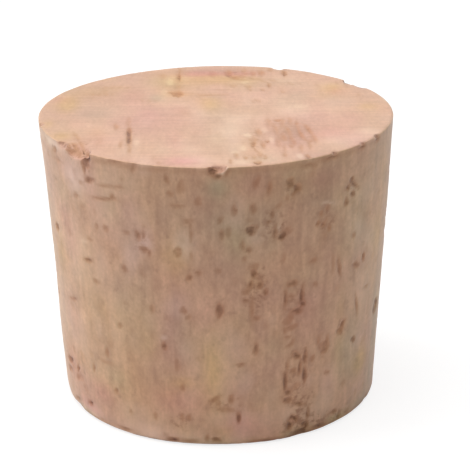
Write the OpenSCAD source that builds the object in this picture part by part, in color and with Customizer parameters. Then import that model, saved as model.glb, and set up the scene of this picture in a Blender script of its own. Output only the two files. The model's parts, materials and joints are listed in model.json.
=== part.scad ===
// Tapered cork stopper, one piece of natural cork bark.
//
// The plug stands on its small end, with the origin at the middle of the foot
// and +Z up. Turn 0 is the front, at -Y, and turns grow towards +X. The bark
// grew in layers that lie across Y, so its pores run level, front to back:
// they come out on the front and back as upright pits, on the two flanks as
// level slits, and on the two ends as slits that lie front to back.

/* [Plug] */
// Diameter across the large end, at the top
top_d = 45.8; // [42:0.1:60]
// Diameter across the small end, at the foot
bottom_d = 41.4; // [34:0.1:46]
// Height from the foot to the top
height = 38.1; // [25:0.1:60]

/* [Edges] */
// Radius of the sanded edge round the top
rim_r = 0.3; // [0.2:0.05:1.2]
// Radius of the worn edge round the foot
foot_r = 0.6; // [0.3:0.05:1.6]

/* [Pores] */
// Length of a usual pore, up the side
pore_l = 1.7; // [1:0.1:2.4]
// Width of a usual pore
pore_w = 0.95; // [0.4:0.05:1]
// Depth of a usual pore
pore_depth = 1.1; // [0.4:0.1:3]
// Length of a fine upright slit
slit_l = 2.6; // [1.2:0.1:4]
// Width of a fine upright slit
slit_w = 0.4; // [0.25:0.05:0.8]
// Depth of a fine upright slit
slit_depth = 0.7; // [0.3:0.1:2]
// Length of a level slit on a flank
flank_l = 2.6; // [1.2:0.1:4.5]
// Width of a level slit on a flank
flank_w = 0.5; // [0.25:0.05:0.9]
// Depth of a level slit on a flank
flank_depth = 0.9; // [0.3:0.1:2]
// Pores in one row across the back
back_columns = 9; // [2:1:14]
// Rows of pores up the back
back_rows = 4; // [1:1:6]
// Level slits up each flank
flank_slits = 12; // [1:1:16]

/* [Woody islands] */
// Height of the longest island of hard bark on the side
island_l = 6.2; // [3:0.1:9]
// Width of that island
island_w = 3; // [2:0.1:4]
// Width of the crack round an island
crack_w = 0.35; // [0.2:0.05:0.5]
// Depth of the crack round an island
crack_depth = 0.7; // [0.3:0.1:1.5]

/* [Ends] */
// Length of the longest slit on the top
end_slit_l = 5.4; // [2:0.1:9]
// Width of that slit
end_slit_w = 0.8; // [0.3:0.05:1.4]
// Depth of that slit
end_slit_depth = 1.6; // [0.5:0.1:4]
// Length of the soft patch in the top, front to back
patch_l = 8; // [4:0.1:10]
// Width of the soft patch
patch_w = 5.2; // [3:0.1:6]
// How far the soft patch lies below the top
patch_depth = 0.35; // [0.1:0.05:0.8]
// Crumbled pits in the soft patch
patch_pits = 9; // [0:1:14]
// Slits across the foot
foot_slits = 9; // [0:1:16]

/* [Chips] */
// Width of the largest chip in the rim, along the edge
rim_chip_w = 5.5; // [3:0.1:10]
// How deep the largest chip in the rim cuts into the edge
rim_chip_depth = 1.3; // [0.4:0.05:2]
// Width of the largest chip in the foot, along the edge
foot_chip_w = 7; // [3:0.1:10]
// How deep the largest chip in the foot cuts into the edge
foot_chip_depth = 0.6; // [0.3:0.05:1.6]

/* [Hidden] */
$fn = 96;

top_r = top_d / 2;
foot_radius = bottom_d / 2;
taper = (top_r - foot_radius) / height;
lean = atan(taper);
proud = 0.8;
// How far inside each edge's arc the straight side starts, so that they cross
tuck = 0.001;
natural_cork = "#c9a184";

// Pits on the front, each side of it from the rim down: turn in degrees,
// level as a share of the height, size as a share of the usual pore, and tilt
// in degrees, where more than 0 leans the upper end to the left.
front_pores = [
    // left of the front
    [-16, 0.95, 0.65, 20], [-63, 0.95, 0.65, -75], [-46, 0.94, 1, 0],
    [-44, 0.90, 0.8, -80], [-6, 0.88, 0.6, 0], [-12, 0.87, 0.75, 90],
    [-34, 0.86, 0.6, 0], [-50, 0.83, 0.6, 90], [-26, 0.75, 0.8, 0],
    [-24, 0.70, 0.75, 0], [-13, 0.71, 0.7, 0], [-69, 0.67, 0.9, -75],
    [-48, 0.61, 0.9, -80], [-31, 0.62, 0.6, 0], [-10, 0.62, 0.6, 0],
    [-6, 0.64, 0.6, 0], [-22, 0.49, 0.65, 0], [-11, 0.50, 0.75, 0],
    [-59, 0.44, 0.9, -75], [-18, 0.37, 0.6, 0], [-14, 0.30, 0.7, 0],
    [-42, 0.29, 0.7, 0], [-69, 0.18, 0.9, -75], [-62, 0.17, 0.8, 0],
    [-39, 0.16, 0.6, 0], [-1, 0.18, 0.7, 0], [-54, 0.06, 0.8, -70],
    // right of the front
    [25, 0.89, 0.9, 30], [22, 0.92, 0.7, 0], [5, 0.85, 0.65, 0],
    [11, 0.85, 0.65, 0], [45, 0.86, 0.6, 45], [48, 0.83, 0.6, 90],
    [45, 0.81, 0.6, 0], [17, 0.83, 0.65, 0], [10, 0.77, 0.85, 0],
    [21, 0.75, 0.95, -50], [33, 0.77, 0.75, 0], [38, 0.74, 0.75, 25],
    [2, 0.77, 0.7, 0], [10, 0.71, 0.65, 0], [50, 0.68, 0.65, 0],
    [11, 0.63, 0.8, 0], [13, 0.59, 0.75, 0], [15, 0.56, 0.6, 0],
    [32, 0.64, 0.6, 90], [33, 0.55, 0.6, 0], [52, 0.57, 1, 75],
    [57, 0.58, 0.75, 0], [60, 0.46, 0.7, 80], [47, 0.37, 0.9, -25],
    [24, 0.355, 0.75, -60], [39, 0.33, 0.8, 0], [35, 0.34, 0.65, 0],
    [7, 0.30, 0.6, 80], [53, 0.29, 0.85, 45], [40, 0.21, 0.6, 80],
    [3, 0.17, 0.6, 0], [6, 0.11, 0.75, 0], [23, 0.15, 0.8, 80],
    [72, 0.35, 0.9, 75]
];

// Fine slits on the front: turn, level, size and tilt, as above.
front_slits = [
    [-8, 0.78, 0.9, 0], [0, 0.50, 0.85, 0], [16, 0.92, 0.65, 0],
    [49, 0.865, 0.8, 55], [18, 0.76, 0.5, 0], [10, 0.51, 1, 0],
    [43, 0.59, 1.1, 15], [54, 0.42, 1.25, 12], [12, 0.36, 0.6, 0]
];

// Level slits at the front of the left flank: turn, level and size.
front_level_slits = [[-38, 0.855, 1.2], [-35, 0.90, 0.9]];

// Slits in the top: turn, reach from the middle as a share of the top's
// radius, size as a share of the longest slit, and turn away from Y.
top_slits = [[-47, 0.65, 1, 4], [47, 0.68, 0.6, 8], [-62, 0.62, 0.4, 0]];

// Pits in the top: turn, reach and size, as above.
top_pores = [
    [-163, 0.78, 1.1], [-149, 0.46, 1.2], [174, 0.78, 1.1], [150, 0.62, 0.8],
    [152, 0.89, 0.9], [30, 0.45, 0.9], [18, 0.64, 1], [21, 0.68, 0.9],
    [7, 0.84, 0.8], [24, 0.89, 0.6]
];

// Torn layers in the top, which lie across it: turn, reach and size.
top_tears = [[163, 0.52, 1], [134, 0.54, 0.8], [132, 0.32, 0.7]];

// Islands of hard bark: turn, level, and size as a share of the longest.
islands = [[27, 0.25, 1], [25, 0.525, 0.55]];

// Chips out of the rim: turn, width and depth as shares of the largest, and
// the slope that each is struck at, where 0 is level and 90 is straight down.
rim_chips = [
    [-50, 1, 1, 50], [-57, 0.6, 0.5, 30], [-45, 0.32, 0.75, 30],
    [0.5, 0.38, 0.7, 50], [39, 0.22, 0.3, 20], [52, 0.22, 0.3, 20],
    [61, 0.27, 0.3, 20], [121, 0.9, 0.48, 30], [126.5, 0.5, 0.8, 45],
    [157, 0.38, 0.65, 35], [-168, 0.4, 0.2, 40], [-80, 0.27, 0.4, 25]
];

// Chips out of the foot, given in the same way.
foot_chips = [
    [-66.5, 1, 1, 45], [29, 0.8, 0.8, 15], [150, 0.7, 1, 45],
    [-140, 0.45, 0.8, 40]
];

// The back's pores stand on a loose grid, and each flank's slits one above
// another, moved off their places by up to half of this share of a step, so
// that none meets the next. A pair of values is the least and the most.
scatter = 0.7;
back_turns = [108, 252];
back_sizes = [0.6, 1.3];
flank_turns = [92, -92];
flank_wander = [-13, 13];
flank_sizes = [0.5, 1.2];
levels = [0.1, 0.92];

// Where the soft patch lies, how far its pits reach as a share of its size,
// and how large they are beside a usual pore.
patch_turn = 50;
patch_reach = 0.52;
patch_spread = 0.34;
patch_pit_size = 0.65;

// The foot's slits keep clear of its middle and of its edge.
foot_reaches = [0.35, 0.85];
foot_sizes = [0.3, 0.8];

// Turn from one seed of a sunflower to the next, which spreads pits evenly
golden_turn = 137.5;

// Radius of the plug at a height above the foot
function side_r(z) = foot_radius + taper * z;

// Radius of the ball that leaves a hollow w wide and d deep
function ball_r(w, d) = (w * w / 4 + d * d) / (2 * d);

// Value that lies at a share of the way between a pair of values
function between(pair, share) = pair[0] + (pair[1] - pair[0]) * share;

// Even draws between 0 and 1: step i of a walk whose stride never comes round
// to the same place. Each stride gives draws of its own.
strides = [0.7549, 0.5698, 0.3820];
function draw(i, stride) = i * strides[stride] - floor(i * strides[stride]);

// Place of step i of a loose grid that divides a pair of values into steps
function loose(pair, steps, i, draw) = between(pair, (i + 0.5 + scatter * (draw - 0.5)) / steps);

// Half section of the plug: a tapered outline whose two corners are arcs.
// Each arc's centre lies where it touches both the end face and the side.
module plug_section() {
    side_c = cos(lean);
    side_s = sin(lean);
    rim_x = side_r(height) - rim_r * (1 + side_s) / side_c;
    foot_x = side_r(0) - foot_r * (1 - side_s) / side_c;
    union() {
        polygon([
            [0, 0],
            [foot_x, 0],
            [foot_x + (foot_r - tuck) * side_c, foot_r - (foot_r - tuck) * side_s],
            [rim_x + (rim_r - tuck) * side_c, height - rim_r - (rim_r - tuck) * side_s],
            [rim_x, height],
            [0, height]
        ]);
        translate([rim_x, height - rim_r]) circle(r = rim_r);
        translate([foot_x, foot_r]) circle(r = foot_r);
    }
}

// Lens outline of two equal arcs, l long up Y and w wide along X
module lens(l, w) {
    arc_r = (l * l + w * w) / (4 * w);
    intersection() {
        translate([w / 2 - arc_r, 0]) circle(r = arc_r);
        translate([arc_r - w / 2, 0]) circle(r = arc_r);
    }
}

// A pore to cut away: a lens-shaped channel that starts proud of the surface
// at Z = 0 and runs down to its depth
module pore(l, w, depth) {
    translate([0, 0, -depth]) linear_extrude(height = depth + proud) lens(l, w);
}

// Closed crack round an island of hard bark
module ring_crack(l, w, depth) {
    translate([0, 0, -depth]) linear_extrude(height = depth + proud)
        difference() {
            lens(l, w);
            lens(l * (1 - 2 * crack_w / w), w - 2 * crack_w);
        }
}

// Places a child on the side, with its Y up the side and its Z straight out
module on_side(turn, level) {
    rotate([0, 0, turn])
        translate([0, -side_r(level * height), level * height])
            rotate([90 + lean, 0, 0]) children();
}

// Places a child on the top, with its Y front to back and its Z straight out
module on_top(turn, reach) {
    translate([reach * top_r * sin(turn), -reach * top_r * cos(turn), height]) children();
}

// Places a child on the foot, with its Z straight out
module on_foot(turn, reach) {
    translate([reach * foot_radius * sin(turn), -reach * foot_radius * cos(turn), 0])
        mirror([0, 0, 1]) children();
}

// A chip: the ball that is struck out of an edge at radius r and height z,
// with its middle out from the edge along the slope
module chip(turn, r, z, w, depth, slope) {
    ball = ball_r(w, depth);
    rotate([0, 0, turn])
        translate([0, -r - (ball - depth) * cos(slope), z + (ball - depth) * sin(slope)])
            sphere(r = ball);
}

// Upright pits and slits that are seen from the front
module front_pits() {
    for (p = front_pores)
        on_side(p[0], p[1]) rotate([0, 0, p[3]]) pore(p[2] * pore_l, p[2] * pore_w, pore_depth);
    for (s = front_slits)
        on_side(s[0], s[1]) rotate([0, 0, s[3]]) pore(s[2] * slit_l, slit_w, slit_depth);
    for (s = front_level_slits)
        on_side(s[0], s[1]) rotate([0, 0, 90]) pore(s[2] * flank_l, flank_w, flank_depth);
}

// Upright pits on the back, on a loose grid
module back_pits() {
    for (row = [0 : back_rows - 1], column = [0 : back_columns - 1])
        let (i = row * back_columns + column, size = between(back_sizes, draw(i, 2)))
            on_side(loose(back_turns, back_columns, column, draw(i, 0)),
                    loose(levels, back_rows, row, draw(i, 1)))
                pore(size * pore_l, size * pore_w, pore_depth);
}

// Level slits on the two flanks, one above another
module flank_pits() {
    for (side = [0 : len(flank_turns) - 1], step = [0 : flank_slits - 1])
        let (i = side * flank_slits + step, size = between(flank_sizes, draw(i, 2)))
            on_side(flank_turns[side] + between(flank_wander, draw(i, 0)),
                    loose(levels, flank_slits, step, draw(i, 1)))
                rotate([0, 0, 90]) pore(size * flank_l, flank_w, flank_depth);
}

// Cracks round the islands of hard bark
module island_cracks() {
    for (p = islands)
        on_side(p[0], p[1]) ring_crack(p[2] * island_l, sqrt(p[2]) * island_w, crack_depth);
}

// Soft patch in the top: a shallow sunk lens of brown crumb, with small pits
// spread along it
module soft_patch() {
    on_top(patch_turn, patch_reach) {
        pore(patch_l, patch_w, patch_depth);
        for (i = [0 : patch_pits - 1])
            let (out = patch_spread * sqrt((i + 0.5) / patch_pits), around = i * golden_turn)
                translate([out * patch_w * cos(around), out * patch_l * sin(around), 0])
                    pore(patch_pit_size * pore_l, patch_pit_size * pore_w, patch_depth + pore_depth / 2);
    }
}

// Slits, pits and torn layers in the top
module top_pits() {
    for (s = top_slits)
        on_top(s[0], s[1]) rotate([0, 0, s[3]])
            pore(s[2] * end_slit_l, sqrt(s[2]) * end_slit_w, end_slit_depth);
    for (p = top_pores)
        on_top(p[0], p[1]) pore(p[2] * pore_l, p[2] * pore_w, pore_depth);
    for (s = top_tears)
        on_top(s[0], s[1]) rotate([0, 0, 90]) pore(s[2] * slit_l, slit_w, slit_depth);
}

// Slits in the foot, spread between its middle and its edge
module foot_pits() {
    for (i = [0 : foot_slits - 1])
        let (size = between(foot_sizes, draw(i, 2)), share = i / foot_slits)
            on_foot(i * golden_turn, between(foot_reaches, sqrt(share)))
                pore(size * end_slit_l, sqrt(size) * end_slit_w, end_slit_depth);
}

// Chips out of the two edges
module edge_chips() {
    for (c = rim_chips)
        chip(c[0], top_r, height, c[1] * rim_chip_w, c[2] * rim_chip_depth, c[3]);
    for (c = foot_chips)
        chip(c[0], foot_radius, 0, c[1] * foot_chip_w, c[2] * foot_chip_depth, -c[3]);
}

module stopper() {
    color(natural_cork)
        difference() {
            rotate_extrude() plug_section();
            edge_chips();
            front_pits();
            back_pits();
            flank_pits();
            island_cracks();
            soft_patch();
            top_pits();
            foot_pits();
        }
}

stopper();
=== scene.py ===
# A tapered stopper cut from one piece of cork bark, stood on its small end.
# Turn 0 is the front (-Y), and turns grow towards +X. Lengths in the
# dictionaries are millimetres, and the mesh is in metres.
import json
import math

import bpy
import numpy as np
from mathutils import Matrix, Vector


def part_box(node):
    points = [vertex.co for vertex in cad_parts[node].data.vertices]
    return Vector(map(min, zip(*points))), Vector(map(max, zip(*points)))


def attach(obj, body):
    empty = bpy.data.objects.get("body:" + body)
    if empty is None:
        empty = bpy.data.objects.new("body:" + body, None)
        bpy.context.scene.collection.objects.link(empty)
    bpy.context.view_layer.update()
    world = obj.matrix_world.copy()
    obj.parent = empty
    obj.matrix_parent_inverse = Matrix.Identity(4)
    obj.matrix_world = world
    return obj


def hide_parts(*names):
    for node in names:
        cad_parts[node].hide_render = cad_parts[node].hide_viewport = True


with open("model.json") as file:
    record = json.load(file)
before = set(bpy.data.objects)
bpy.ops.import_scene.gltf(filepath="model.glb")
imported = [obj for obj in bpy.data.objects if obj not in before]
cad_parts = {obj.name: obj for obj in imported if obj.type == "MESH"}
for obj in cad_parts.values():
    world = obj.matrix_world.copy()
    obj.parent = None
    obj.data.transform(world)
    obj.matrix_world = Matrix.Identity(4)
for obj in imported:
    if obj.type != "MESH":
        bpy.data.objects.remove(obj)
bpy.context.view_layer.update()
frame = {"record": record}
low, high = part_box("stopper")
print("frame loaded, stopper", [round(1000 * v, 2) for v in (high - low)], "mm")


camera = {
    "place": (0.0, -0.24002, 0.10974),    # metres
    "lookDown": 20.299,    # degrees under level
    "lookRight": 0.530,    # degrees off straight ahead
    "roll": -0.716,        # degrees about the line of sight
    "lens": 147.2,         # mm
    "sensor": 36,          # mm across
    "clip": (0.01, 20),    # metres, the nearest and farthest that it sees
}


def addObject(name, data):
    # an object with this data, linked into the scene
    made = bpy.data.objects.new(name, data)
    bpy.context.scene.collection.objects.link(made)
    return made


def makeCamera(spec):
    # aim = a turn about Z, then a tip down from level, then a roll about the line of sight
    aim = (Matrix.Rotation(math.radians(-spec["lookRight"]), 4, "Z")
           @ Matrix.Rotation(math.radians(90 - spec["lookDown"]), 4, "X")
           @ Matrix.Rotation(math.radians(spec["roll"]), 4, "Z"))
    data = bpy.data.cameras.new("studio_camera")
    data.lens = spec["lens"]
    data.sensor_width = spec["sensor"]
    data.clip_start, data.clip_end = spec["clip"]
    eye = addObject("studio_camera", data)
    eye.matrix_world = Matrix.Translation(spec["place"]) @ aim
    bpy.context.scene.camera = eye


makeCamera(camera)
print("camera placed")


def linear(hexColour):
    # sRGB to linear: c / 12.92 under 0.04045, else ((c + 0.055) / 1.055) ^ 2.4
    parts = [int(hexColour[i:i + 2], 16) / 255 for i in (1, 3, 5)]
    return tuple(c / 12.92 if c <= 0.04045 else ((c + 0.055) / 1.055) ** 2.4 for c in parts) + (1.0,)


def emptyTree(owner):
    # the nodes of a material or of the world, cleared
    owner.use_nodes = True
    owner.node_tree.nodes.clear()
    return owner.node_tree


def addNode(tree, kind, inputs=None, **settings):
    # adds one shader node, applies its settings, links or fills each input named, and
    # gives back its outputs
    node = tree.nodes.new("ShaderNode" + kind)
    for name, value in settings.items():
        setattr(node, name, value)
    for key, value in (inputs or {}).items():
        if isinstance(value, bpy.types.NodeSocket):
            tree.links.new(value, node.inputs[key])
        else:
            node.inputs[key].default_value = value
    return node.outputs


plug = {
    "capAcross": 200,       # quads across each end, finer than front to back
    "capAlong": 60,         # quads front to back, so 2 x (200 + 60) go round the plug
    "sideRows": 124,        # rows of quads up the plain side
    "edgeRows": 10,         # rows round each rounded edge
    "frontCrowding": 0.25,  # 0 spaces the columns evenly, more crowds them to the front
    "taper": 2.2 / 38.1,    # growth of the radius per mm of height
    "rimRound": 0.3,        # radius of the sanded top edge
    "footRound": 0.6,       # radius of the worn bottom edge
    "bow": 0.06,            # how far the long waves stand proud
    "grit": 0.015,          # how rough the sanded surface is
    "crumbGrit": 0.08,      # how rough the crumbled cork is
    "crumbSink": 0.1,       # how far the crumbled cork has sunk
    "pitDepth": 0.3,        # depth of the darkest pores
    "seed": 5,
}
seat = next(m for m in frame["record"]["mounts"] if m["name"] == "neck_seat")
plug["height"] = 1000 * (high.z - low.z)
plug["midRadius"] = seat["dims"]["r_mm"]    # radius half way up
topRadius = plug["midRadius"] + plug["taper"] * plug["height"] / 2
footRadius = plug["midRadius"] - plug["taper"] * plug["height"] / 2


# Each noise: its cells' size in x, y and z, and what it adds to the plug's seed
noises = {
    "bow": ((11, 11, 14), 2),
    "grit": ((0.7, 1.4, 1.4), 3),
    "crumb": ((0.7, 0.7, 0.7), 4),
    "ragged": ((0.5, 0.6, 0.6), 1), "raggedWide": ((1.1, 1.4, 1.1), 10),    # edges of marks
    "warp": ((0.7, 0.8, 0.7), 11),      # bends in marks
    "breaks": ((2.5, 2.5, 9), 9),       # gaps in dark lines
    "torn": ((1.6, 1.0, 1.2), 7), "tornCrumb": ((0.9, 0.8, 0.6), 8),    # faces of chips
    "driftWide": ((5, 7, 8), 20), "driftFine": ((2.2, 4, 3.5), 30),     # drift of colour
}
noiseCells = 64    # the lattice starts again after this many cells


def noise(place, name, shift=0):
    # smooth noise, -1 to 1: random values on a lattice of the cell's size, blended
    # between the eight nearest by the step 3 t^2 - 2 t^3
    cell, own = noises[name]
    table = np.random.default_rng(plug["seed"] + own + shift).uniform(-1, 1, (noiseCells,) * 3)
    scaled = place / np.array(cell)
    base = np.floor(scaled).astype(int)
    step = scaled - base
    step = step * step * (3 - 2 * step)
    total = np.zeros(len(place))
    for corner in ((a, b, c) for a in (0, 1) for b in (0, 1) for c in (0, 1)):
        weight = np.prod(np.where(corner, step, 1 - step), axis=1)
        i, j, k = ((base + corner) % noiseCells).T
        total += weight * table[i, j, k]
    return total


def smooth(value, start, end):
    # smooth step: 0 up to start, 1 from end, 3 t^2 - 2 t^3 between
    t = np.clip((value - start) / (end - start), 0, 1)
    return t * t * (3 - 2 * t)


def turned(reach, z, turn):
    # points at a reach from the axis and a height: (r sin turn, -r cos turn, z)
    return np.stack(np.broadcast_arrays(reach * np.sin(turn), -reach * np.cos(turn), z), -1)


def plugGrid(spec):
    # Side: turn = p - crowding sin p round the plug; up it, a foot arc, a straight
    # taper and a rim arc. Ends: a square grid drawn out to a disc, where a ring of
    # the square becomes a circle, so the outer ring meets the side's ring.
    across, along = spec["capAcross"], spec["capAlong"]
    around = 2 * (across + along)
    lean = math.atan(spec["taper"])
    rimX = topRadius - spec["rimRound"] * (1 + math.sin(lean)) / math.cos(lean)
    footX = footRadius - spec["footRound"] * (1 - math.sin(lean)) / math.cos(lean)

    footArc = np.linspace(-math.pi / 2, -lean, spec["edgeRows"] + 1)
    rimArc = np.linspace(-lean, math.pi / 2, spec["edgeRows"] + 1)
    lowPoints = np.stack([footX + spec["footRound"] * np.cos(footArc),
                          spec["footRound"] * (1 + np.sin(footArc))], 1)
    highPoints = np.stack([rimX + spec["rimRound"] * np.cos(rimArc),
                           spec["height"] + spec["rimRound"] * (np.sin(rimArc) - 1)], 1)
    share = np.linspace(0, 1, spec["sideRows"] + 1)[1:-1, None]
    plain = lowPoints[-1] * (1 - share) + highPoints[0] * share
    outline = np.concatenate([lowPoints, plain, highPoints])
    facing = np.concatenate([footArc, np.full(len(plain), -lean), rimArc])

    p = 2 * math.pi * np.arange(around) / around
    turn = p - spec["frontCrowding"] * np.sin(p)
    index = np.arange(len(outline) * around).reshape(-1, around)
    right = np.roll(index, -1, 1)
    quads = [np.stack([index[:-1], right[:-1], right[1:], index[1:]], -1).reshape(-1, 4)]
    allPoints = [turned(outline[:, :1], outline[:, 1:], turn).reshape(-1, 3)]
    allNormals = [turned(np.cos(facing)[:, None], np.sin(facing)[:, None], turn).reshape(-1, 3)]

    a, b = np.meshgrid(np.linspace(-1, 1, along + 1), np.linspace(-1, 1, across + 1), indexing="ij")
    reach = np.maximum(abs(a), abs(b))
    wide = abs(a) >= abs(b)
    safe = np.where(reach == 0, 1, np.where(wide, a, b))
    corner = math.pi / 2 * across / (across + along)
    angle = np.where(wide, corner * b / safe, math.pi / 2 - (math.pi / 2 - corner) * a / safe)
    angle = np.where(np.where(wide, a, b) < 0, angle + math.pi, angle)   # the p that a ring passes
    capTurn = angle - spec["frontCrowding"] * np.sin(angle)
    inner = ~np.isclose(reach, 1)
    ringStep = np.rint(angle / (2 * math.pi) * around).astype(int) % around
    count = index.size
    for radius, z, out, ring in ((rimX, spec["height"], 1, index[-1]), (footX, 0, -1, index[0])):
        disc = turned(radius * reach, z, capTurn)
        number = np.where(inner, 0, ring[ringStep])
        number[inner] = count + np.arange(inner.sum())
        count += inner.sum()
        allPoints.append(disc[inner])
        allNormals.append(np.tile([0, 0, out], (inner.sum(), 1)))
        face = np.stack([number[:-1, :-1], number[1:, :-1], number[1:, 1:], number[:-1, 1:]], -1)
        face = face.reshape(-1, 4)
        quads.append(face if out > 0 else face[:, ::-1])
    return np.concatenate(allPoints), np.concatenate(allNormals), np.concatenate(quads)


# Where each part of the surface starts and ends, by the upright part of its normal,
# which is 0 on an upright side and 1 on an end
zones = {
    "sideMost": 0.95,           # the side's marks reach this far over an edge
    "endLeast": 0.6,            # the ends' marks start here
    "endFace": (0.55, 0.85),    # the ends' colour comes in
    # rimIn and rimOut bound a painted highlight along the rim
    "rimIn": (0.1, 0.6), "rimOut": (0.9, 0.999),    # the rim's paler line comes in and goes out
}
points, normals, quads = plugGrid(plug)
turn = np.arctan2(points[:, 0], -points[:, 1])
radius = np.hypot(points[:, 0], points[:, 1])
onSide = abs(normals[:, 2]) < zones["sideMost"]
onTop = normals[:, 2] > zones["endLeast"]
onFoot = normals[:, 2] < -zones["endLeast"]
print("plug grid:", len(points), "points,", 2 * len(quads), "triangles")


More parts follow.
